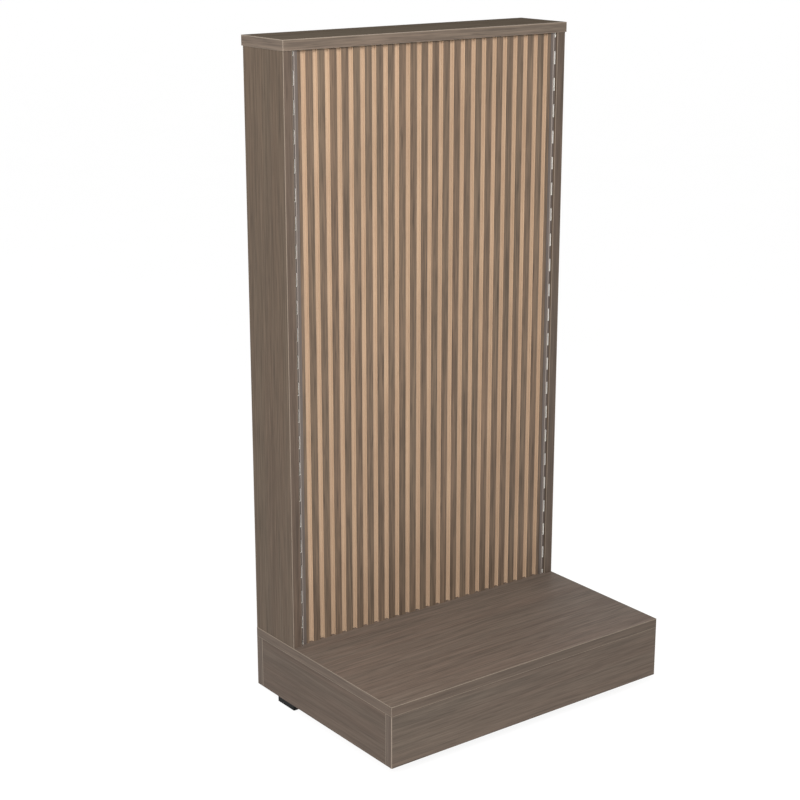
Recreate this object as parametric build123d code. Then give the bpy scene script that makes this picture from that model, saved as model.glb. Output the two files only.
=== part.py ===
from build123d import *
import math
import os

# Free-standing display fixture: a low base with a deck, and a tall body that holds a vertically
# grooved slat panel between two slotted bracket standards. Millimetres. Origin on the floor, at the
# centre of the overall footprint. +X is the viewer's right, -Y the front, +Z up.

# ------------------------------------------------------------------ driving dimensions
inch = 25.4

board = 0.75 * inch             # thickness of every laminated board
band = 1.0                      # thickness of the banding glued to a board's bare edge
band_round = 0.6                # rounding on the banding's outer edges

bay_width = 24 * inch           # clear width between the uprights
body_depth = 128.6              # uprights, front edge to back edge
body_height = 1111.6            # uprights, deck to cap

base_reveal = 0.6               # base stands this far proud of the body on each side
base_depth = 438.2
base_board_height = 100.3
floor_gap = 30.0                # floor to the lower edge of the base boards

cap_side_overhang = 1.4
cap_front_overhang = 2.5
cap_back_overhang = 3.0

groove_pitch = 1 * inch         # slat panel grooves, centre to centre
groove_width = 10.6
groove_depth = 6.35
laminate = 0.8                  # decorative sheet on both faces of the slat panel
panel_recess = 5.0              # slat panel's face behind the uprights' front edges
panel_side_gap = 0.2
panel_top_gap = 1.5

standard_width = 0.5 * inch
standard_top_gap = 0.5
standard_sheet = 1.5            # sheet metal of the standards
standard_recess = 4.0           # face strip behind the uprights' front edges
strip_thickness = 0.6           # face strip over the standard's web
return_lip = 6.0                # lip folded back along the standard's free edge
slot_length = 1 * inch
slot_pitch = 2 * inch
slot_width = 3.2
slot_inset = 0.125 * inch       # slot centre line to the upright's inner face
screw_every = 4                 # one fixing screw for every fourth slot
bead_radius = 1.0               # stiffening bead beside the slots
bead_gap = 0.3                  # slot edge to bead

back_panel_thickness = 6.35
back_panel_recess = 1.0
back_panel_gap = 0.5

rail_count = 4
bracket_leg = 25.0
bracket_sheet = 2.0
bracket_width = 20.0

dowel_diameter = 8.0
dowel_in_edge = 20.0            # dowel length in the board whose edge or end meets the joint
dowel_in_face = 10.0            # dowel length in the board whose face meets the joint
cam_diameter = 15.0
cam_depth = 12.5
cam_bolt_diameter = 6.0
cam_bolt_anchor = 11.0          # bolt length in the mating board
rail_cam_setback = 24.0
cap_cam_setback = 34.0
fit = 0.1                       # radial clearance of every dowel, cam, bolt and screw in its hole
cam_play = 1.0                  # bolt's end to the end of its bore, and lock's face to the board's face
cam_cross = (1.6, 10.0, 4.0)    # drive cross in a cam lock: slot width, length and twice its depth
rail_dowel_inset = 20.0         # dowel to the rail's front and back edges
cap_dowel_inset = 12.0          # dowel to the upright's front and back edges
cap_cam_inset = 58.0            # cam lock to the upright's front edge

deck_screw = (6.3, 50.0)        # screws by diameter and length
deck_screw_inset = 14.0         # screw to the upright's front and back edges
bottom_rail_screw = (4.5, 32.0)
back_panel_screw = (4.0, 22.0)
back_panel_screw_share = 0.85   # outer screws' distance from the middle, as a share of half the bay
bracket_rail_screw = (4.0, 16.0)
bracket_panel_screw = (4.0, 12.0)
bracket_hole_share = 0.7        # screw hole's place along each leg of an angle bracket
standard_screw = (3.5, 13.0)
corner_screw = (4.0, 28.0)
cleat_screw = (4.0, 32.0)

corner_block = 15.0
corner_block_lift = 5.0         # corner block's lower end above the base boards' lower edge
corner_screw_shares = (0.2, 0.7)  # heights of its screws, as shares of the base boards' height
corner_screw_step = 12.0        # side screws stand this far above the front and back ones
deck_cleat = 19.0
cleat_gap = 5.0                 # cleat's ends to the blocks before and behind it
cleat_screw_shares = (0.1, 0.5, 0.9)
stretcher_lift = 20.0           # stretcher's lower edge above the base boards' lower edge
stretcher_dowel_shares = (0.25, 0.75)

pad_side = 56.0
pad_height = 24.0
pad_round = 2.0
mount_block_height = 66.0
side_clearance = 3.0            # base board to the rear mounting blocks
block_gap = 2.3                 # rear corner blocks to the rear mounting blocks
front_foot_inset = 90.0         # front foot's centre from the base's side face
front_foot_setback = 114.0      # front foot's centre from the base's front face
stem_diameter = 10.0
stem_gap = 0.3                  # radial clearance of the stem in the pad and in the tee nut
stem_seat = 10.0                # bottom of the pad's socket above the floor
stem_length = 78.0
stem_chamfer = 0.8
stem_bore_cover = 8.0           # wood left over the stem's bore in the mounting block
collar_flats = 17.0
collar_height = 4.5
collar_gap = 0.4                # pad's top to the stem's hexagonal collar
tee_barrel_diameter = 13.0
tee_barrel_length = 14.0
tee_flange_diameter = 26.0
tee_flange_thickness = 1.5

# ------------------------------------------------------------------ places that follow from them
body_width = bay_width + 2 * board
base_width = body_width + 2 * base_reveal
overall_depth = base_depth + cap_back_overhang

bay_half = bay_width / 2
body_half = body_width / 2
base_half = base_width / 2
base_front = -overall_depth / 2
base_back = base_front + base_depth
body_back = base_back
body_front = body_back - body_depth

base_bottom = floor_gap
deck_bottom = base_bottom + base_board_height
deck_top = deck_bottom + board
cap_bottom = deck_top + body_height
cap_top = cap_bottom + board
body_middle = (deck_top + cap_bottom) / 2

panel_front = body_front + panel_recess
panel_back = panel_front + board
panel_half = bay_half - standard_width - panel_side_gap
panel_top = cap_bottom - panel_top_gap
rail_front = panel_back
rail_back = body_back - back_panel_recess - back_panel_thickness
rail_middle = (rail_front + rail_back) / 2

strip_front = body_front + standard_recess
web_front = strip_front + strip_thickness
standard_back = panel_back

X = Vector(1, 0, 0)
Y = Vector(0, 1, 0)
Z = Vector(0, 0, 1)

nodes = {}
holes = {}


# ------------------------------------------------------------------ shapes
def block(low, high):
    """A box given by two opposite corners."""
    size = [top - bottom for bottom, top in zip(low, high)]
    centre = [(top + bottom) / 2 for bottom, top in zip(low, high)]
    return Pos(*centre) * Box(*size)


def side_block(side, inner, outer, low, high):
    """A box between two distances from the middle plane, on the left (-1) or the right (+1)."""
    first, last = sorted((side * inner, side * outer))
    return block((first, *low), (last, *high))


def rod(start, direction, diameter, length):
    """A cylinder that runs from start along direction."""
    place = Plane(origin=start, z_dir=direction).location
    return place * Cylinder(diameter / 2, length, align=(Align.CENTER, Align.CENTER, Align.MIN))


def cut(name, *cutters):
    """Books holes that are cut from a board when it is made."""
    holes.setdefault(name, []).extend(cutters)


def add(name, *pieces):
    """Adds separate solids to a node."""
    nodes.setdefault(name, []).extend(pieces)


def make(name, body):
    """Cuts a board's booked holes and adds it as a node."""
    for cutter in holes.get(name, []):
        body = body - cutter
    add(name, body)


def rounded(strip, axis, place):
    """Rounds the long edges of a banding strip on its outer face, which lies at place on axis."""
    outer = strip.faces().sort_by(axis)[-1 if place > 0 else 0]
    return fillet(outer.edges(), band_round)


# ------------------------------------------------------------------ fasteners, each with its hole
def dowel(joint, direction, edge_board, face_board):
    """A grooved dowel across a joint. direction points into the board whose face meets the joint."""
    add("wood_dowels", rod(joint - direction * dowel_in_edge, direction, dowel_diameter,
                           dowel_in_edge + dowel_in_face))
    start = joint - direction * (dowel_in_edge + fit)
    hole = rod(start, direction, dowel_diameter + 2 * fit, dowel_in_edge + dowel_in_face + 2 * fit)
    cut(edge_board, hole)
    cut(face_board, hole)


def cam_joint(face_point, inward, toward, setback, edge_board, face_board):
    """A cam lock let into edge_board, with its bolt running on into face_board."""
    centre = face_point + inward * (board / 2)
    reach = setback + cam_bolt_anchor
    bore = rod(centre, toward, cam_bolt_diameter + 2 * fit, reach + fit)
    lock = rod(face_point, inward, cam_diameter, cam_depth) - bore
    place = Plane(origin=face_point, x_dir=toward, z_dir=inward).location
    for turn in (45, 135):
        lock = lock - place * Rot(0, 0, turn) * Box(*cam_cross)
    add("cam_locks", lock)
    add("cam_bolts", rod(centre + toward * cam_play, toward, cam_bolt_diameter, reach - cam_play))
    pocket = rod(face_point - inward * cam_play, inward, cam_diameter + 2 * fit, cam_depth + cam_play + fit)
    cut(edge_board, pocket, bore)
    cut(face_board, bore)


def pan_screw(name, seat, direction, size, *boards):
    """A pan-head screw with its head's underside at seat, and its hole in each board."""
    diameter, length = size
    head_height = 0.6 * diameter
    head = rod(seat, -direction, 2 * diameter, head_height)
    head = fillet(head.edges().sort_by(Axis(seat, direction))[0], 0.3 * diameter)
    place = Plane(origin=seat - direction * head_height, z_dir=direction).location
    for turn in (0, 90):
        head = head - place * Rot(0, 0, turn) * Box(0.22 * diameter, diameter, 0.8 * head_height)
    add(name, head + rod(seat, direction, diameter, length))
    for each in boards:
        cut(each, rod(seat, direction, diameter + 2 * fit, length + fit))


def flush_screw(name, seat, direction, size, *boards):
    """A countersunk screw with its head flush at seat, and its hole in each board."""
    diameter, length = size
    head_radius = diameter
    cone_height = head_radius - diameter / 2
    place = Plane(origin=seat, z_dir=direction).location
    base = (Align.CENTER, Align.CENTER, Align.MIN)
    cone = place * Cone(head_radius, diameter / 2, cone_height, align=base)
    socket = place * extrude(RegularPolygon(0.45 * diameter, 6), 0.5 * diameter)
    add(name, cone + rod(seat, direction, diameter, length) - socket)
    sink = place * Cone(head_radius + fit, diameter / 2, cone_height + fit, align=base)
    for each in boards:
        cut(each, sink + rod(seat, direction, diameter + 2 * fit, length + fit))


# ------------------------------------------------------------------ fastener layout
rail_heights = {
    "bottom_rail": deck_top + board / 2,
    "lower_rail": deck_top + body_height / (rail_count - 1),
    "upper_rail": deck_top + 2 * body_height / (rail_count - 1),
    "top_rail": cap_bottom - board / 2,
}

for rail_name, height in rail_heights.items():
    cam_side = -1 if rail_name == "bottom_rail" else 1
    for side, upright in ((-1, "left_upright"), (1, "right_upright")):
        for y in (rail_front + rail_dowel_inset, rail_back - rail_dowel_inset):
            dowel(Vector(side * bay_half, y, height), X * side, rail_name, upright)
        cam_face = Vector(side * (bay_half - rail_cam_setback), rail_middle, height - cam_side * board / 2)
        cam_joint(cam_face, Z * cam_side, X * side, rail_cam_setback, rail_name, upright)

for side, upright in ((-1, "left_upright"), (1, "right_upright")):
    middle = side * (bay_half + board / 2)
    for y in (body_front + cap_dowel_inset, body_back - cap_dowel_inset):
        dowel(Vector(middle, y, cap_bottom), Z, upright, "top_cap")
    cam_face = Vector(side * bay_half, body_front + cap_cam_inset, cap_bottom - cap_cam_setback)
    cam_joint(cam_face, X * side, Z, cap_cam_setback, upright, "top_cap")
    for y in (body_front + deck_screw_inset, body_back - deck_screw_inset):
        seat = Vector(middle, y, deck_bottom)
        flush_screw("upright_deck_screws", seat, Z, deck_screw, "deck_board", upright)

for x in (-bay_half / 2, 0, bay_half / 2):
    flush_screw("bottom_rail_screws", Vector(x, rail_middle, deck_bottom), Z, bottom_rail_screw,
                "deck_board", "bottom_rail")
    for rail_name, height in rail_heights.items():
        seat = Vector(2 * back_panel_screw_share * x, body_back - back_panel_recess, height)
        pan_screw("back_panel_screws", seat, -Y, back_panel_screw, "back_panel", rail_name)

# angle brackets hold the slat panel's back to the rails
for rail_name, height in rail_heights.items():
    away = 1 if rail_name == "bottom_rail" else -1
    face = height + away * board / 2
    for x in (-bay_half / 2, bay_half / 2):
        legs = (face, face + away * bracket_leg)
        sheet = (face, face + away * bracket_sheet)
        low_x, high_x = x - bracket_width / 2, x + bracket_width / 2
        flat = block((low_x, panel_back, min(sheet)), (high_x, panel_back + bracket_leg, max(sheet)))
        tall = block((low_x, panel_back, min(legs)), (high_x, panel_back + bracket_sheet, max(legs)))
        angle = flat + tall
        out = bracket_hole_share * bracket_leg
        up_seat = Vector(x, panel_back + out, face + away * bracket_sheet)
        panel_seat = Vector(x, panel_back + bracket_sheet, face + away * out)
        pan_screw("bracket_screws", up_seat, Z * -away, bracket_rail_screw, rail_name)
        pan_screw("bracket_screws", panel_seat, -Y, bracket_panel_screw,
                  "slat_panel_core", "slat_back_laminate")
        for hole_seat, direction, (diameter, length) in ((up_seat, Z * -away, bracket_rail_screw),
                                                         (panel_seat, -Y, bracket_panel_screw)):
            angle = angle - rod(hole_seat, direction, diameter + 2 * fit, length)
        add("panel_angle_brackets", angle)

# ------------------------------------------------------------------ slotted standards
slots_each_way = math.ceil(body_height / 2 / slot_pitch)
slot_heights = [body_middle + step * slot_pitch for step in range(-slots_each_way, slots_each_way + 1)]
screw_steps = [step for step in range(1 - slots_each_way, slots_each_way - 1) if step % screw_every == 1]
screw_heights = [body_middle + (step + 0.5) * slot_pitch for step in screw_steps]


def slot_cutter(side, z):
    """One bracket slot through the face strip and the web behind it."""
    place = Plane(origin=(side * (bay_half - slot_inset), strip_front - 2 * bead_radius, z), x_dir=(0, 0, 1),
                  z_dir=(0, 1, 0)).location
    deep = 2 * bead_radius + strip_thickness + standard_sheet + fit
    return place * extrude(SlotOverall(slot_length, slot_width), deep)


for side, hand in ((-1, "left"), (1, "right")):
    foot = (web_front, deck_top)
    top = cap_bottom - standard_top_gap
    free_edge = bay_half - standard_width
    for z in screw_heights:
        seat = Vector(side * (bay_half - standard_sheet), (web_front + standard_back) / 2, z)
        pan_screw("standard_screws", seat, X * side, standard_screw,
                  f"{hand}_slotted_standard", f"{hand}_upright")
    web = side_block(side, free_edge, bay_half, foot, (web_front + standard_sheet, top))
    flange = side_block(side, bay_half - standard_sheet, bay_half, foot, (standard_back, top))
    lip = side_block(side, free_edge, free_edge + standard_sheet, foot, (web_front + return_lip, top))
    channel = web + flange + lip
    strip = side_block(side, free_edge, bay_half - fit, (strip_front, deck_top), (web_front, top))
    bead_x = bay_half - slot_inset - slot_width / 2 - bead_gap - bead_radius
    bead = rod(Vector(side * bead_x, strip_front, deck_top), Z, 2 * bead_radius, top - deck_top)
    half = side_block(side, free_edge, bay_half, (strip_front - 2 * bead_radius, deck_top),
                      (strip_front + strip_thickness / 2, top))
    strip = strip + (bead & half)
    for z in slot_heights:
        channel = channel - slot_cutter(side, z)
        strip = strip - slot_cutter(side, z)
    make(f"{hand}_slotted_standard", channel)
    add(f"{hand}_standard_face_strip", strip)

# ------------------------------------------------------------------ slat panel
groove_count = round(2 * panel_half / groove_pitch)
groove_middles = [(step - (groove_count - 1) / 2) * groove_pitch for step in range(groove_count)]
core = block((-panel_half, panel_front + laminate, deck_top), (panel_half, panel_back - laminate, panel_top))
for x in groove_middles:
    core = core - block((x - groove_width / 2, panel_front, deck_top - board),
                        (x + groove_width / 2, panel_front + groove_depth, panel_top + board))
make("slat_panel_core", core)
land_starts = [-panel_half] + [x + groove_width / 2 for x in groove_middles]
land_ends = [x - groove_width / 2 for x in groove_middles] + [panel_half]
for start, end in zip(land_starts, land_ends):
    add("slat_face_laminate", block((start, panel_front, deck_top), (end, panel_front + laminate, panel_top)))
make("slat_back_laminate",
     block((-panel_half, panel_back - laminate, deck_top), (panel_half, panel_back, panel_top)))

# ------------------------------------------------------------------ body
for side, hand in ((-1, "left"), (1, "right")):
    make(f"{hand}_upright", side_block(side, bay_half, body_half, (body_front + band, deck_top),
                                       (body_back - band, cap_bottom)))
    for near, far, outward in ((body_front, body_front + band, -1), (body_back - band, body_back, 1)):
        strip = side_block(side, bay_half, body_half, (near, deck_top), (far, cap_bottom))
        outer = strip.faces().sort_by(Axis.Y)[0 if outward < 0 else -1]
        add("upright_edge_bands", fillet(outer.edges().filter_by(Axis.Z), band_round))

for rail_name, height in rail_heights.items():
    make(rail_name, block((-bay_half, rail_front, height - board / 2),
                          (bay_half, rail_back, height + board / 2)))

back_panel_half = bay_half - back_panel_gap
make("back_panel", block((-back_panel_half, rail_back, deck_top),
                         (back_panel_half, rail_back + back_panel_thickness, cap_bottom - back_panel_gap)))


# ------------------------------------------------------------------ banded boards: cap and deck
def banded_board(name, band_name, low, high):
    """A board with banding on all four edges. The front and back strips run over the side strips."""
    make(name, block((low[0] + band, low[1] + band, low[2]), (high[0] - band, high[1] - band, high[2])))
    for near, far, outward in ((low[1], low[1] + band, -1), (high[1] - band, high[1], 1)):
        strip = block((low[0], near, low[2]), (high[0], far, high[2]))
        add(band_name, rounded(strip, Axis.Y, outward))
    for near, far, outward in ((low[0], low[0] + band, -1), (high[0] - band, high[0], 1)):
        strip = block((near, low[1] + band, low[2]), (far, high[1] - band, high[2]))
        outer = strip.faces().sort_by(Axis.X)[0 if outward < 0 else -1]
        add(band_name, fillet(outer.edges().filter_by(Axis.Y), band_round))


banded_board("top_cap", "cap_edge_bands",
             (-body_half - cap_side_overhang, body_front - cap_front_overhang, cap_bottom),
             (body_half + cap_side_overhang, body_back + cap_back_overhang, cap_top))

# ------------------------------------------------------------------ base
inner_half = base_half - board
inner_front = base_front + board
inner_back = base_back - board
rear_foot_y = inner_back - corner_block - block_gap - pad_side / 2
rear_foot_x = inner_half - side_clearance - pad_side / 2
front_foot_y = base_front + front_foot_setback
front_foot_x = base_half - front_foot_inset
feet = {
    "front_left": (-front_foot_x, front_foot_y),
    "front_right": (front_foot_x, front_foot_y),
    "rear_left": (-rear_foot_x, rear_foot_y),
    "rear_right": (rear_foot_x, rear_foot_y),
}

# corner blocks, each screwed to the two boards that it joins
for end, inner_y, inward in (("front", inner_front, 1), ("rear", inner_back, -1)):
    long_board = "base_front_board" if end == "front" else "base_back_board"
    for side, hand in ((-1, "left"), (1, "right")):
        name = f"{end}_{hand}_corner_block"
        reach = inner_y + inward * corner_block
        for share in corner_screw_shares:
            height = base_bottom + share * base_board_height
            seat = Vector(side * (inner_half - corner_block / 2), reach, height)
            flush_screw("corner_block_screws", seat, -Y * inward, corner_screw, name, long_board)
            seat = Vector(side * (inner_half - corner_block), inner_y + inward * corner_block / 2,
                          height + corner_screw_step)
            flush_screw("corner_block_screws", seat, X * side, corner_screw, name, f"base_{hand}_board")
        make(name, side_block(side, inner_half - corner_block, inner_half,
                              (min(inner_y, reach), base_bottom + corner_block_lift),
                              (max(inner_y, reach), deck_bottom)))

# cleats that the deck is screwed down to
cleat_front = inner_front + corner_block + cleat_gap
cleat_back = rear_foot_y - pad_side / 2 - cleat_gap
for side, hand in ((-1, "left"), (1, "right")):
    name = f"{hand}_deck_cleat"
    for share in cleat_screw_shares:
        y = cleat_front + share * (cleat_back - cleat_front)
        seat = Vector(side * (inner_half - deck_cleat / 2), y, deck_bottom - deck_cleat)
        pan_screw("deck_cleat_screws", seat, Z, cleat_screw, name, "deck_board")
    make(name, side_block(side, inner_half - deck_cleat, inner_half, (cleat_front, deck_bottom - deck_cleat),
                          (cleat_back, deck_bottom)))

# stretcher under the middle of the deck
for y, direction, long_board in ((inner_front, -Y, "base_front_board"), (inner_back, Y, "base_back_board")):
    for share in stretcher_dowel_shares:
        z = base_bottom + stretcher_lift + share * (base_board_height - stretcher_lift)
        dowel(Vector(0, y, z), direction, "base_stretcher", long_board)
make("base_stretcher", block((-board / 2, inner_front, base_bottom + stretcher_lift),
                             (board / 2, inner_back, deck_bottom)))

# ------------------------------------------------------------------ levelling feet
mount_bottom = deck_bottom - mount_block_height
bore_diameter = stem_diameter + 2 * stem_gap

for corner, (x, y) in feet.items():
    axis_foot = Vector(x, y, 0)
    block_name = f"{corner}_leveler_block"
    for step in (-1, 1):
        joint = Vector(x + step * pad_side / 3, y + step * pad_side / 3, deck_bottom)
        dowel(joint, Z, block_name, "deck_board")
    tee_foot = axis_foot + Z * mount_bottom
    flange = rod(tee_foot - Z * tee_flange_thickness, Z, tee_flange_diameter, tee_flange_thickness)
    barrel = rod(tee_foot, Z, tee_barrel_diameter, tee_barrel_length)
    bore = rod(tee_foot - Z * tee_barrel_length, Z, bore_diameter, 3 * tee_barrel_length)
    add("leveler_tee_nuts", flange + barrel - bore)
    cut(block_name, rod(tee_foot, Z, tee_barrel_diameter + 2 * fit, tee_barrel_length + fit),
        rod(tee_foot, Z, bore_diameter + 2 * fit, mount_block_height - stem_bore_cover))
    make(block_name, block((x - pad_side / 2, y - pad_side / 2, mount_bottom),
                           (x + pad_side / 2, y + pad_side / 2, deck_bottom)))

    pad = block((x - pad_side / 2, y - pad_side / 2, 0), (x + pad_side / 2, y + pad_side / 2, pad_height))
    pad = fillet(pad.edges().filter_by(Axis.Z), pad_round)
    pad = fillet(pad.faces().sort_by(Axis.Z)[-1].edges(), pad_round)
    socket = rod(axis_foot + Z * stem_seat, Z, bore_diameter, pad_height)
    add(f"{corner}_foot_pad", pad - socket)

    stem = rod(axis_foot + Z * (stem_seat + stem_gap), Z, stem_diameter, stem_length)
    stem = chamfer(stem.edges(), stem_chamfer)
    collar = extrude(RegularPolygon(collar_flats / math.sqrt(3), 6), collar_height)
    add(f"{corner}_leveler_stem", stem + Pos(x, y, pad_height + collar_gap) * collar)

# ------------------------------------------------------------------ base boards and deck
for end, near, far in (("front", base_front, inner_front), ("back", inner_back, base_back)):
    make(f"base_{end}_board", block((-base_half + band, near, base_bottom),
                                    (base_half - band, far, deck_bottom)))
    for side in (-1, 1):
        strip = side_block(side, base_half - band, base_half, (near, base_bottom), (far, deck_bottom))
        outer = strip.faces().sort_by(Axis.X)[0 if side < 0 else -1]
        add("base_end_bands", fillet(outer.edges().filter_by(Axis.Z), band_round))
for side, hand in ((-1, "left"), (1, "right")):
    make(f"base_{hand}_board", side_block(side, inner_half, base_half, (inner_front, base_bottom),
                                          (inner_back, deck_bottom)))
banded_board("deck_board", "deck_edge_bands",
             (-base_half, base_front, deck_bottom), (base_half, base_back, deck_top))

# ------------------------------------------------------------------ one STEP file for each node
os.makedirs("parts", exist_ok=True)
for name, pieces in nodes.items():
    solids = [solid for piece in pieces for solid in piece.solids()]
    export_step(Compound(solids), f"parts/{name}.step")
print(len(nodes), "nodes,", round(cap_top, 2), "mm tall")
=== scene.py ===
import math

import bpy
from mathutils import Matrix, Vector


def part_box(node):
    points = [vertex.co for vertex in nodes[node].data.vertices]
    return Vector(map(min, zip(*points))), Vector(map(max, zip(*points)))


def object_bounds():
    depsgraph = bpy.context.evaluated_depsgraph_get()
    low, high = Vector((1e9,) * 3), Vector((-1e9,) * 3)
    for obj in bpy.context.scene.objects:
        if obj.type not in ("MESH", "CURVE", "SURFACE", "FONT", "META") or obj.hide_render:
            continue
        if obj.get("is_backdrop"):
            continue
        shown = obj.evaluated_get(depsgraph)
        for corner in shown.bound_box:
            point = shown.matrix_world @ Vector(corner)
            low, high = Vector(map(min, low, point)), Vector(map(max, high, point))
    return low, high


# Looks of a free-standing display fixture. Metres, in the CAD part's own frame: +Z up, -Y the front.

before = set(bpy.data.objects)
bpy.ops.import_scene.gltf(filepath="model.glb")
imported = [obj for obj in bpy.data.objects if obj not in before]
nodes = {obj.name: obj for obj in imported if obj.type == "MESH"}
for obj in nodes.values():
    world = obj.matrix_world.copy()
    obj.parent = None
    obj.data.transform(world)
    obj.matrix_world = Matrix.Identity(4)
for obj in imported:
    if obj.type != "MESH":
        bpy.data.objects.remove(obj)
cad_low, cad_high = (list(corner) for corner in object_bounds())

scene = bpy.context.scene

# ------------------------------------------------------------------ camera
CAMERA_PLACE = Vector((-2.01515, -2.49283, 1.54864))
CAMERA_YAW = 0.6449          # radians from +Y towards +X
CAMERA_PITCH = 0.2872        # radians below the horizon
FOCAL_PIXELS = 1775.25       # focal length in pixels of a picture PICTURE_PIXELS wide
PICTURE_PIXELS = 800
SENSOR_MM = 36.0
CLIP_START = 0.05
CLIP_END = 100

camera_data = bpy.data.cameras.new("camera")
camera = bpy.data.objects.new("camera", camera_data)
scene.collection.objects.link(camera)
camera_data.sensor_width = SENSOR_MM
camera_data.lens = FOCAL_PIXELS / PICTURE_PIXELS * SENSOR_MM
camera_data.clip_start = CLIP_START
camera_data.clip_end = CLIP_END
forward = Vector((math.sin(CAMERA_YAW) * math.cos(CAMERA_PITCH),
                  math.cos(CAMERA_YAW) * math.cos(CAMERA_PITCH),
                  -math.sin(CAMERA_PITCH)))
camera.rotation_mode = "QUATERNION"
camera.rotation_quaternion = forward.to_track_quat("-Z", "Y")
camera.location = CAMERA_PLACE
scene.camera = camera

# ------------------------------------------------------------------ node helpers
# the colour sockets of a Mix node, whose number and vector sockets have the same names
MIX_FIRST, MIX_SECOND, MIX_RESULT = 6, 7, 2
ONE_NOISE = (0.3, 0.7)       # values that one noise takes nearly everywhere
TWO_NOISES = (0.7, 1.3)      # the same for the sum of two noises


class Shader:
    """A material on a Principled shader, with short calls for the nodes that feed it."""

    def __init__(self, name):
        self.material = bpy.data.materials.new(name)
        self.material.use_nodes = True
        self.tree = self.material.node_tree
        self.tree.nodes.clear()
        output = self.tree.nodes.new("ShaderNodeOutputMaterial")
        self.surface = self.tree.nodes.new("ShaderNodeBsdfPrincipled")
        self.tree.links.new(self.surface.outputs[0], output.inputs["Surface"])
        coordinates = self.tree.nodes.new("ShaderNodeTexCoord")
        self.place = coordinates.outputs["Object"]

    def node(self, kind, *inputs, **settings):
        """A node of that kind. Each input is a number, a tuple or another node's output."""
        made = self.tree.nodes.new("ShaderNode" + kind)
        for key, value in settings.items():
            setattr(made, key, value)
        for index, value in enumerate(inputs):
            self.feed(made.inputs[index], value)
        return made

    def feed(self, socket, value):
        """Links another node's output to the socket, or sets the socket's own value."""
        if isinstance(value, bpy.types.NodeSocket):
            self.tree.links.new(value, socket)
        else:
            socket.default_value = value

    def math(self, operation, a, b=0.0):
        return self.node("Math", a, b, operation=operation).outputs[0]

    def distance(self, a, b):
        """How far a is from b, without sign."""
        return self.math("ABSOLUTE", self.math("SUBTRACT", a, b))

    def stretch(self, scale, shift):
        """The object's coordinates, in metres, times scale, plus shift."""
        made = self.node("Mapping", self.place)
        made.inputs["Scale"].default_value = scale
        made.inputs["Location"].default_value = shift
        return made.outputs[0]

    def noise(self, scale, shift, detail, rough, bend=0.0):
        """Noise with that many cells in a metre along each axis."""
        made = self.node("TexNoise")
        self.feed(made.inputs["Vector"], self.stretch(scale, shift))
        made.inputs["Scale"].default_value = 1.0
        made.inputs["Detail"].default_value = detail
        made.inputs["Roughness"].default_value = rough
        made.inputs["Distortion"].default_value = bend
        return made.outputs["Fac"]

    def span(self, value, low, high, to_low=0.0, to_high=1.0):
        """value carried from low..high to to_low..to_high, and held at the ends."""
        return self.node("MapRange", value, low, high, to_low, to_high).outputs[0]

    def blend(self, factor, first, second, how="MIX"):
        """first where factor is 0, second mixed in where it is 1."""
        made = self.node("Mix", data_type="RGBA", blend_type=how)
        self.feed(made.inputs["Factor"], factor)
        self.feed(made.inputs[MIX_FIRST], first)
        self.feed(made.inputs[MIX_SECOND], second)
        return made.outputs[MIX_RESULT]

    def normal_parts(self):
        """The three parts of the face's own normal, without sign."""
        geometry = self.node("NewGeometry")
        parts = self.node("SeparateXYZ", geometry.outputs["True Normal"])
        return [self.math("ABSOLUTE", part) for part in parts.outputs]

    def place_parts(self):
        """The three coordinates of the place, in metres."""
        return self.node("SeparateXYZ", self.place).outputs

    def sway(self, slow, shift, across):
        """Lets the places that later noises read wander by up to half of across, over slow cells."""
        wave = self.node("TexNoise", self.stretch(slow, shift))
        wave.inputs["Scale"].default_value = 1.0
        wave.inputs["Detail"].default_value = 1.0
        centred = self.node("VectorMath", wave.outputs["Color"], (0.5, 0.5, 0.5), operation="SUBTRACT")
        moved = self.node("VectorMath", centred.outputs[0], across, operation="MULTIPLY")
        self.place = self.node("VectorMath", self.place, moved.outputs[0], operation="ADD").outputs[0]

    def bump(self, height, strength, distance):
        """Fine relief under the shading, distance metres deep."""
        made = self.node("Bump")
        made.inputs["Strength"].default_value = strength
        made.inputs["Distance"].default_value = distance
        self.feed(made.inputs["Height"], height)
        self.feed(self.surface.inputs["Normal"], made.outputs[0])

    def finish(self, colour, roughness, metallic=0.0, specular=0.5):
        """Feeds the surface and gives back the material."""
        self.feed(self.surface.inputs["Base Color"], colour)
        self.feed(self.surface.inputs["Roughness"], roughness)
        self.surface.inputs["Metallic"].default_value = metallic
        self.surface.inputs["Specular IOR Level"].default_value = specular
        return self.material


def colour(red, green, blue, gain=1.0):
    """A colour given as 0 to 255 on a display, as linear light, times gain."""
    linear = []
    for value in (red, green, blue):
        share = value / 255
        linear.append(gain * (share / 12.92 if share <= 0.04045 else ((share + 0.055) / 1.055) ** 2.4))
    return (*linear, 1.0)


def paint(name, material):
    """Puts the material on every slot of a CAD node."""
    for each in nodes[name].material_slots:
        each.material = material


# ------------------------------------------------------------------ printed woodgrain
LAMINATE_GAIN = 0.60         # light the sheet gives back, as a share of its colour on a display
# cells in a metre along the grain and across it
BROAD_GRAIN = (0.9, 22.0)
MIDDLE_GRAIN = (3.0, 110.0)
FINE_GRAIN = (9.0, 320.0)
PORES = (18.0, 560.0)
TINT_CELLS = (1.3, 34.0)
SWAY_CELLS = (1.1, 5.0)
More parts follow.
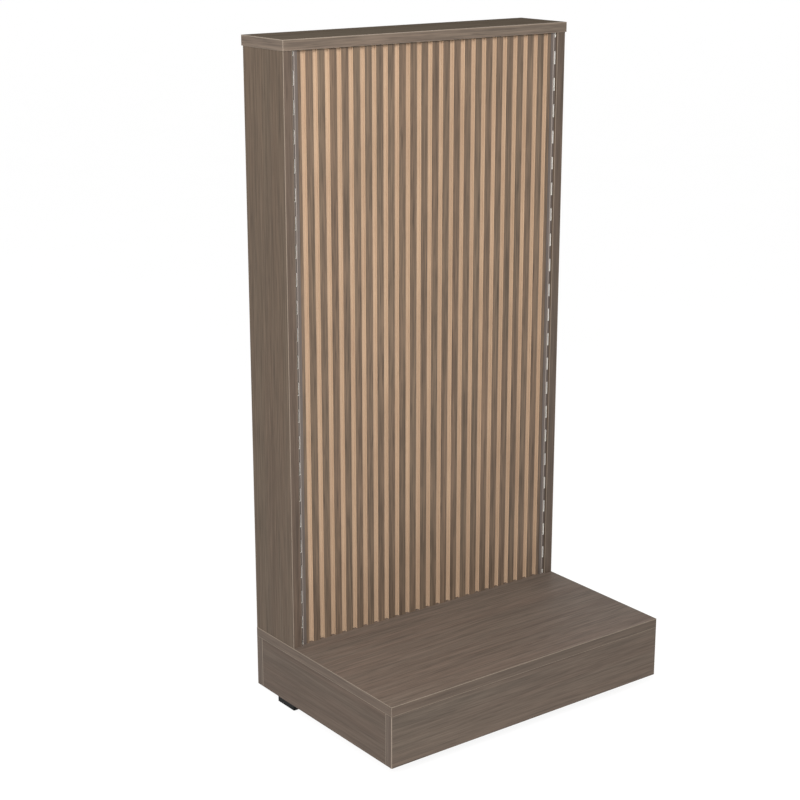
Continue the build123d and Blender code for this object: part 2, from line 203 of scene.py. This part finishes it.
# shares of the three grains in the tone, and the sums that are its darkest and lightest
BROAD_SHARE = 0.35
MIDDLE_SHARE = 0.5
FINE_SHARE = 1.15
TONE_ENDS = (0.76, 1.24)
TONE_SWING = 0.14            # darkest and lightest tone either side of the middle, at a contrast of 1
PORE_ENDS = (0.56, 0.66)     # noise at which a pore starts and is full
PORE_STRENGTH = 0.34         # at a contrast of 1
PORE_COLOUR = (60, 50, 42)
PORE_DEPTH = 0.8             # against the fine grain's relief
TINT_ENDS = (0.35, 0.65)
COOL_TINT = (0.985, 1.008, 1.01, 1)
WARM_TINT = (1.02, 0.992, 0.985, 1)
GRAIN_ROUGHNESS = (0.64, 0.52)
GRAIN_RELIEF = (0.25, 0.00015)
# painted highlights on the edge bands: a lighter colour on their roundings and in thin lines beside listed
# edges, standing in for light catching the rounded corners
HIGHLIGHT_FULL = 0.0008           # metres from an edge where the painted highlight line starts to fade
HIGHLIGHT_NONE = 0.0018           # metres from an edge where it has gone
HIGHLIGHT_LINE = 0.45             # strength of the line beside an edge
HIGHLIGHT_ROUND = 0.75            # strength on the edge's own rounding
FLAT_NORMAL = 0.995          # largest part of the normal where a flat face ends
ROUND_NORMAL = 0.93          # and where the rounding takes the full painted highlight


def grain_scale(axes, along, across):
    """Scales for noise that runs along the named axes."""
    return tuple(along if axis in axes else across for axis in "XYZ")


def woodgrain(name, axes, seed, mid, edges=None, highlight=None, contrast=1.0, specular=0.2, sway=0.012):
    """Printed grain along axes. edges is (axis, places) of the edges beside which a thin line gets a
    painted highlight in the colour given after edges; every rounded edge gets it too.
    """
    shade = Shader(name)
    shift = (seed * 3.7, seed * 1.9, seed * 5.3)
    whereabouts = shade.place_parts()
    shade.sway(grain_scale(axes, *SWAY_CELLS), shift, grain_scale(axes, 0.0, sway))
    broad = shade.noise(grain_scale(axes, *BROAD_GRAIN), shift, detail=3.0, rough=0.55, bend=0.9)
    middle = shade.noise(grain_scale(axes, *MIDDLE_GRAIN), shift, detail=4.0, rough=0.65, bend=0.3)
    fine = shade.noise(grain_scale(axes, *FINE_GRAIN), shift, detail=3.0, rough=0.6)
    pores = shade.noise(grain_scale(axes, *PORES), shift, detail=2.0, rough=0.5)
    pores = shade.span(pores, *PORE_ENDS)
    tone = shade.math("MULTIPLY", broad, BROAD_SHARE)
    tone = shade.math("ADD", tone, shade.math("MULTIPLY", middle, MIDDLE_SHARE))
    tone = shade.math("ADD", tone, shade.math("MULTIPLY", fine, FINE_SHARE))
    tone = shade.span(tone, *TONE_ENDS)
    low = colour(*[value * (1 - TONE_SWING * contrast) for value in mid], LAMINATE_GAIN)
    high = colour(*[value * (1 + TONE_SWING * contrast) for value in mid], LAMINATE_GAIN)
    surface = shade.blend(tone, low, high)
    hue = shade.noise(grain_scale(axes, *TINT_CELLS), (shift[1], shift[2], shift[0]), detail=2.0, rough=0.5)
    tint = shade.blend(shade.span(hue, *TINT_ENDS), COOL_TINT, WARM_TINT)
    surface = shade.blend(1.0, surface, tint, "MULTIPLY")
    pore_factor = shade.math("MULTIPLY", pores, PORE_STRENGTH * contrast)
    surface = shade.blend(pore_factor, surface, colour(*PORE_COLOUR, LAMINATE_GAIN))
    # painted highlight: lighter colour on every rounded edge and in thin lines beside the listed edges,
    # standing in for light catching the bands' rounded corners
    if highlight:
        x, y, z = shade.normal_parts()
        largest = shade.math("MAXIMUM", shade.math("MAXIMUM", x, y), z)
        painted_highlight = shade.span(largest, FLAT_NORMAL, ROUND_NORMAL, 0.0, HIGHLIGHT_ROUND)
        axis, places = edges
        coordinate = whereabouts["XYZ".index(axis)]
        for place in places:
            line = shade.span(shade.distance(coordinate, place), HIGHLIGHT_FULL, HIGHLIGHT_NONE, HIGHLIGHT_LINE, 0.0)
            painted_highlight = shade.math("MAXIMUM", painted_highlight, line)
        surface = shade.blend(painted_highlight, surface, colour(*highlight, LAMINATE_GAIN))
    roughness = shade.span(shade.math("ADD", middle, fine), *TWO_NOISES, *GRAIN_ROUGHNESS)
    shade.bump(shade.math("SUBTRACT", fine, shade.math("MULTIPLY", pores, PORE_DEPTH)), *GRAIN_RELIEF)
    return shade.finish(surface, roughness, specular=specular)


# Every board is faced with the same laminate; its middle tone is set board by board as painted light and
# painted shade for how light falls on each face, lightest on the deck and cap, darkest on the uprights and
# base sides.
BROWN = (101, 86, 75)
UPRIGHT = (93, 78, 64)
BASE_SIDE = (93, 79, 68)
paint("left_upright", woodgrain("laminate_left_upright", "Z", 1, UPRIGHT))
paint("right_upright", woodgrain("laminate_right_upright", "Z", 2, UPRIGHT))
paint("slat_face_laminate", woodgrain("laminate_slat_face", "Z", 3, (110, 92, 76), contrast=1.3))
paint("slat_back_laminate", woodgrain("laminate_slat_back", "Z", 4, BROWN))
paint("back_panel", woodgrain("laminate_back_panel", "Z", 5, (103, 88, 74)))
paint("top_cap", woodgrain("laminate_top_cap", "X", 6, (120, 108, 95), contrast=0.8, specular=0.0))
paint("deck_board", woodgrain("laminate_deck", "X", 7, (120, 105, 94), contrast=0.85, sway=0.035))
paint("base_front_board", woodgrain("laminate_base_front", "X", 8, (101, 88, 77), contrast=0.85))
paint("base_back_board", woodgrain("laminate_base_back", "X", 9, (101, 87, 75), contrast=0.75))
paint("base_left_board", woodgrain("laminate_base_left", "Y", 10, BASE_SIDE, contrast=0.65))
paint("base_right_board", woodgrain("laminate_base_right", "Y", 11, BASE_SIDE, contrast=0.65))

# painted highlight colours for the edge bands' rounded corners; the cap gets its line only along its top
# edge
EDGE_HIGHLIGHT = (178, 163, 147)
DECK_EDGE_HIGHLIGHT = (158, 144, 129)
UPRIGHT_EDGE_HIGHLIGHT = (152, 138, 123)
base_front_y = [corner[1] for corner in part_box("base_front_board")]
base_back_y = [corner[1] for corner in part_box("base_back_board")]
upright_x = [corner[0] for hand in ("left", "right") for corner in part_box(hand + "_upright")]
cap_z = [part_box("top_cap")[1][2]]
deck_z = [corner[2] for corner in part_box("deck_board")]
base_end_y = base_front_y + base_back_y
paint("cap_edge_bands", woodgrain("banding_cap", "XY", 12, (110, 96, 84), ("Z", cap_z), EDGE_HIGHLIGHT))
paint("deck_edge_bands",
      woodgrain("banding_deck", "XY", 13, (99, 85, 74), ("Z", deck_z), DECK_EDGE_HIGHLIGHT, contrast=0.7))
paint("upright_edge_bands",
      woodgrain("banding_uprights", "Z", 14, (94, 80, 69), ("X", upright_x), UPRIGHT_EDGE_HIGHLIGHT))
paint("base_end_bands",
      woodgrain("banding_base", "Z", 15, (96, 83, 73), ("Y", base_end_y), EDGE_HIGHLIGHT, contrast=0.7))

# ------------------------------------------------------------------ raw fibreboard in the grooves
FIBREBOARD_GAIN = 0.8
FIBREBOARD_DARK = (164, 138, 114)
FIBREBOARD_LIGHT = (188, 162, 136)
SPECK_COLOUR = (104, 78, 56)
SPECK_ENDS = (0.63, 0.72)    # noise at which a speck starts and is full
SPECK_STRENGTH = 0.35
FIBREBOARD_TONE = (0.55, 0.95)


def fibreboard():
    """Machined fibreboard: matt, with fine fibres, faint cutter lines and dark specks."""
    shade = Shader("raw_fibreboard")
    fibres = shade.noise((900, 900, 260), (2.1, 0.4, 1.7), detail=4.0, rough=0.65)
    clouds = shade.noise((26, 26, 7), (0.7, 3.1, 2.2), detail=3.0, rough=0.55)
    sawn = shade.noise((700, 700, 4), (5.2, 1.3, 0.9), detail=3.0, rough=0.6)
    specks = shade.noise((1400, 1400, 900), (3.3, 2.8, 4.4), detail=2.0, rough=0.6)
    specks = shade.span(specks, *SPECK_ENDS)
    tone = shade.math("ADD", shade.math("MULTIPLY", fibres, 0.5), shade.math("MULTIPLY", clouds, 0.5))
    tone = shade.math("ADD", tone, shade.math("MULTIPLY", sawn, 0.5))
    tone = shade.span(tone, *FIBREBOARD_TONE)
    base = shade.blend(tone, colour(*FIBREBOARD_DARK, FIBREBOARD_GAIN),
                       colour(*FIBREBOARD_LIGHT, FIBREBOARD_GAIN))
    base = shade.blend(shade.math("MULTIPLY", specks, SPECK_STRENGTH), base,
                       colour(*SPECK_COLOUR, FIBREBOARD_GAIN))
    height = shade.math("ADD", fibres, shade.math("MULTIPLY", sawn, 0.7))
    shade.bump(height, 0.35, 0.0002)
    return shade.finish(base, shade.span(fibres, *ONE_NOISE, 0.82, 0.95), specular=0.2)


paint("slat_panel_core", fibreboard())

# ------------------------------------------------------------------ slotted standards
# places across the standards, as distances from the middle plane
BAY_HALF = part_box("right_upright")[0][0]
SLOT_MIDDLE = BAY_HALF - 0.003175
BEAD_MIDDLE = BAY_HALF - 0.006075
FREE_EDGE = BAY_HALF - 0.0127
# reach of each paint from its place, and the width over which it fades
SLOT_REACH = 0.0017
BEAD_HIGHLIGHT_REACH = 0.0010
FREE_EDGE_DARK_REACH = 0.0003
FADE = 0.0001
STRIP_GAIN = 0.6
BEAD_HIGHLIGHT_GAIN = 0.66
CUT_WALL = (0.9, 0.5)        # normal's part along Y on the strip's face and on a slot's wall


def near(shade, across, middle, reach):
    """1 within reach of middle, fading to 0 beyond it."""
    return shade.span(shade.distance(across, middle), reach + FADE, reach)


def strip_face():
    """Satin grey-brown face strip, with a painted highlight along its bead and bare metal on the cut edges
    of its slots.
    """
    shade = Shader("standard_face")
    lines = shade.noise((900, 900, 3.0), (1.2, 0.3, 2.6), detail=3.0, rough=0.6)
    clouds = shade.noise((60, 60, 9), (2.2, 1.3, 0.6), detail=3.0, rough=0.6)
    tone = shade.span(shade.math("ADD", lines, clouds), *TWO_NOISES)
    base = shade.blend(tone, colour(90, 80, 74, STRIP_GAIN), colour(108, 97, 90, STRIP_GAIN))
    across = shade.math("ABSOLUTE", shade.place_parts()[0])
    normal_y = shade.normal_parts()[1]
    # painted highlight: a lighter colour along the bead, standing in for light on its side
    bead_highlight = near(shade, across, BEAD_MIDDLE, BEAD_HIGHLIGHT_REACH)
    base = shade.blend(bead_highlight, base, colour(137, 127, 119, BEAD_HIGHLIGHT_GAIN))
    at_slot = near(shade, across, SLOT_MIDDLE, SLOT_REACH)
    cut_edge = shade.math("MULTIPLY", shade.span(normal_y, *CUT_WALL), at_slot)
    base = shade.blend(cut_edge, base, colour(240, 236, 228))
    shade.bump(lines, 0.15, 0.0001)
    return shade.finish(base, shade.span(lines, *ONE_NOISE, 0.48, 0.36), specular=0.35)


def mill_metal():
    """Bright sheet, drawn lengthwise, darkened to the face strip's brown along its free edge."""
    shade = Shader("standard_metal")
    lines = shade.noise((1600, 1600, 12), (4.2, 2.3, 1.6), detail=3.0, rough=0.6)
    clouds = shade.noise((80, 80, 20), (0.9, 1.8, 2.7), detail=3.0, rough=0.6)
    tone = shade.span(shade.math("ADD", lines, clouds), *TWO_NOISES)
    base = shade.blend(tone, colour(214, 211, 204), colour(234, 231, 225))
    across = shade.math("ABSOLUTE", shade.place_parts()[0])
    # a darker band along the free edge, in the face strip's brown
    free_edge_dark = near(shade, across, FREE_EDGE, FREE_EDGE_DARK_REACH)
    base = shade.blend(free_edge_dark, base, colour(99, 88, 82, STRIP_GAIN))
    shade.bump(lines, 0.2, 0.00008)
    return shade.finish(base, shade.span(lines, *ONE_NOISE, 0.5, 0.34), metallic=0.25)


strip_material = strip_face()
metal_material = mill_metal()
for hand in ("left", "right"):
    paint(f"{hand}_standard_face_strip", strip_material)
    paint(f"{hand}_slotted_standard", metal_material)


# ------------------------------------------------------------------ pieces out of sight or below
def plain_timber(name, axes, seed, low, high):
    """Sanded bare timber with its grain along axes."""
    shade = Shader(name)
    shift = (seed * 2.3, seed * 4.1, seed * 1.7)
    rings = shade.noise(grain_scale(axes, 1.6, 60.0), shift, detail=4.0, rough=0.6, bend=0.8)
    fibres = shade.noise(grain_scale(axes, 14.0, 900.0), shift, detail=3.0, rough=0.6)
    tone = shade.span(shade.math("ADD", rings, fibres), *TWO_NOISES)
    base = shade.blend(tone, colour(*low), colour(*high))
    shade.bump(fibres, 0.3, 0.0002)
    return shade.finish(base, shade.span(fibres, *ONE_NOISE, 0.72, 0.58), specular=0.3)


def zinc():
    """Zinc-plated steel, with faint clouds and scuffs."""
    shade = Shader("zinc_plated_steel")
    cloud = shade.noise((220, 220, 220), (1.1, 2.2, 3.3), detail=4.0, rough=0.6)
    scuffs = shade.noise((1800, 1800, 500), (2.6, 0.8, 1.9), detail=2.0, rough=0.6)
    tone = shade.span(shade.math("ADD", cloud, scuffs), *TWO_NOISES)
    base = shade.blend(tone, colour(168, 170, 170), colour(205, 206, 202))
    shade.bump(scuffs, 0.2, 0.00006)
    return shade.finish(base, shade.span(cloud, *ONE_NOISE, 0.38, 0.24), metallic=1.0)


def moulded_plastic():
    """Black plastic with a fine moulded grain and a little dust."""
    shade = Shader("black_moulded_plastic")
    grain = shade.noise((1500, 1500, 1500), (0.5, 1.5, 2.5), detail=3.0, rough=0.6)
    dust = shade.noise((60, 60, 60), (3.1, 1.1, 0.1), detail=3.0, rough=0.6)
    base = shade.blend(shade.span(dust, 0.45, 0.75), colour(5, 5, 5), colour(11, 11, 10))
    shade.bump(grain, 0.4, 0.00012)
    return shade.finish(base, shade.span(grain, *ONE_NOISE, 0.66, 0.52), specular=0.15)


TIMBER = ((170, 136, 96), (206, 172, 128))
BEECH = ((190, 152, 110), (216, 182, 140))

inner_board = woodgrain("inner_board", "X", 16, BROWN)
for name in ("bottom_rail", "lower_rail", "upper_rail", "top_rail"):
    paint(name, inner_board)
paint("base_stretcher", woodgrain("inner_stretcher", "Y", 17, BROWN))

timber_upright = plain_timber("timber_blocks", "Z", 1, *TIMBER)
timber_cleat = plain_timber("timber_cleats", "Y", 2, *TIMBER)
paint("left_deck_cleat", timber_cleat)
paint("right_deck_cleat", timber_cleat)
paint("wood_dowels", plain_timber("beech_dowels", "X", 3, *BEECH))

zinc_material = zinc()
plastic_material = moulded_plastic()
for corner in ("front_left", "front_right", "rear_left", "rear_right"):
    paint(f"{corner}_corner_block", timber_upright)
    paint(f"{corner}_leveler_block", timber_upright)
    paint(f"{corner}_foot_pad", plastic_material)
    paint(f"{corner}_leveler_stem", zinc_material)
for name in ("back_panel_screws", "standard_screws", "bracket_screws", "corner_block_screws",
             "deck_cleat_screws", "bottom_rail_screws", "upright_deck_screws", "panel_angle_brackets",
             "leveler_tee_nuts", "cam_bolts", "cam_locks"):
    paint(name, zinc_material)

# ------------------------------------------------------------------ floor
FLOOR_SIDES = 96
FLOOR_REACH = 40.0
FLOOR_DROP = 0.0005          # floor's surface below the feet
FLOOR_GLOW = 0.90            # emission that lifts it to the backdrop's white
FLOOR_DARK = (0.13, 0.13, 0.13, 1)
FLOOR_LIGHT = (0.15, 0.15, 0.148, 1)


def make_floor():
    """A wide disc under the feet, matt and faintly mottled, with an even glow of its own."""
    shade = Shader("studio_floor")
    mottle = shade.noise((3, 3, 3), (0, 0, 0), detail=3.0, rough=0.5)
    base = shade.blend(mottle, FLOOR_DARK, FLOOR_LIGHT)
    shade.surface.inputs["Emission Color"].default_value = (1, 1, 1, 1)
    shade.surface.inputs["Emission Strength"].default_value = FLOOR_GLOW
    material = shade.finish(base, 0.9, specular=0.1)
    turns = [2 * math.pi * step / FLOOR_SIDES for step in range(FLOOR_SIDES)]
    rim = [(FLOOR_REACH * math.cos(turn), FLOOR_REACH * math.sin(turn), 0) for turn in turns]
    mesh = bpy.data.meshes.new("floor")
    mesh.from_pydata(rim, [], [list(range(FLOOR_SIDES))])
    mesh.materials.append(material)
    floor = bpy.data.objects.new("floor", mesh)
    floor.location = (0, 0, cad_low[2] - FLOOR_DROP)
    scene.collection.objects.link(floor)
    floor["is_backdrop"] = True


make_floor()

# ------------------------------------------------------------------ light
HORIZON_STRENGTH = 1.0
ZENITH_STRENGTH = 0.30
HORIZON_HEIGHT = 0.30        # sine of the height up to which the surround has the horizon's strength
ZENITH_HEIGHT = 0.85         # and from which it has the zenith's


def make_world():
    """A soft white surround, brighter near the horizon than overhead."""
    world = bpy.data.worlds.new("studio")
    scene.world = world
    world.use_nodes = True
    tree = world.node_tree
    tree.nodes.clear()
    output = tree.nodes.new("ShaderNodeOutputWorld")
    background = tree.nodes.new("ShaderNodeBackground")
    coordinates = tree.nodes.new("ShaderNodeTexCoord")
    parts = tree.nodes.new("ShaderNodeSeparateXYZ")
    height = tree.nodes.new("ShaderNodeMapRange")
    height.interpolation_type = "SMOOTHSTEP"
    height.inputs["From Min"].default_value = HORIZON_HEIGHT
    height.inputs["From Max"].default_value = ZENITH_HEIGHT
    height.inputs["To Min"].default_value = HORIZON_STRENGTH
    height.inputs["To Max"].default_value = ZENITH_STRENGTH
    tree.links.new(coordinates.outputs["Generated"], parts.inputs[0])
    tree.links.new(parts.outputs["Z"], height.inputs["Value"])
    tree.links.new(height.outputs[0], background.inputs["Strength"])
    background.inputs["Color"].default_value = (1, 1, 1, 1)
    tree.links.new(background.outputs[0], output.inputs["Surface"])


def make_area(name, place, target, size, watts):
    """A square white area light at place that faces target and stays out of the picture."""
    light = bpy.data.lights.new(name, "AREA")
    light.shape = "SQUARE"
    light.size = size
    light.energy = watts
    holder = bpy.data.objects.new(name, light)
    holder.location = place
    holder.rotation_mode = "QUATERNION"
    holder.rotation_quaternion = (Vector(target) - Vector(place)).to_track_quat("-Z", "Y")
    holder.visible_camera = False
    scene.collection.objects.link(holder)


make_world()
make_area("key", place=(-1.60, -2.15, 2.15), target=(0, 0, 0.6), size=1.0, watts=108)
make_area("side", place=(-2.60, -1.25, 1.75), target=(0, 0, 0.9), size=1.3, watts=58)

scene.view_settings.view_transform = "Standard"
scene.view_settings.look = "None"
scene.view_settings.exposure = 0
scene.view_settings.gamma = 1
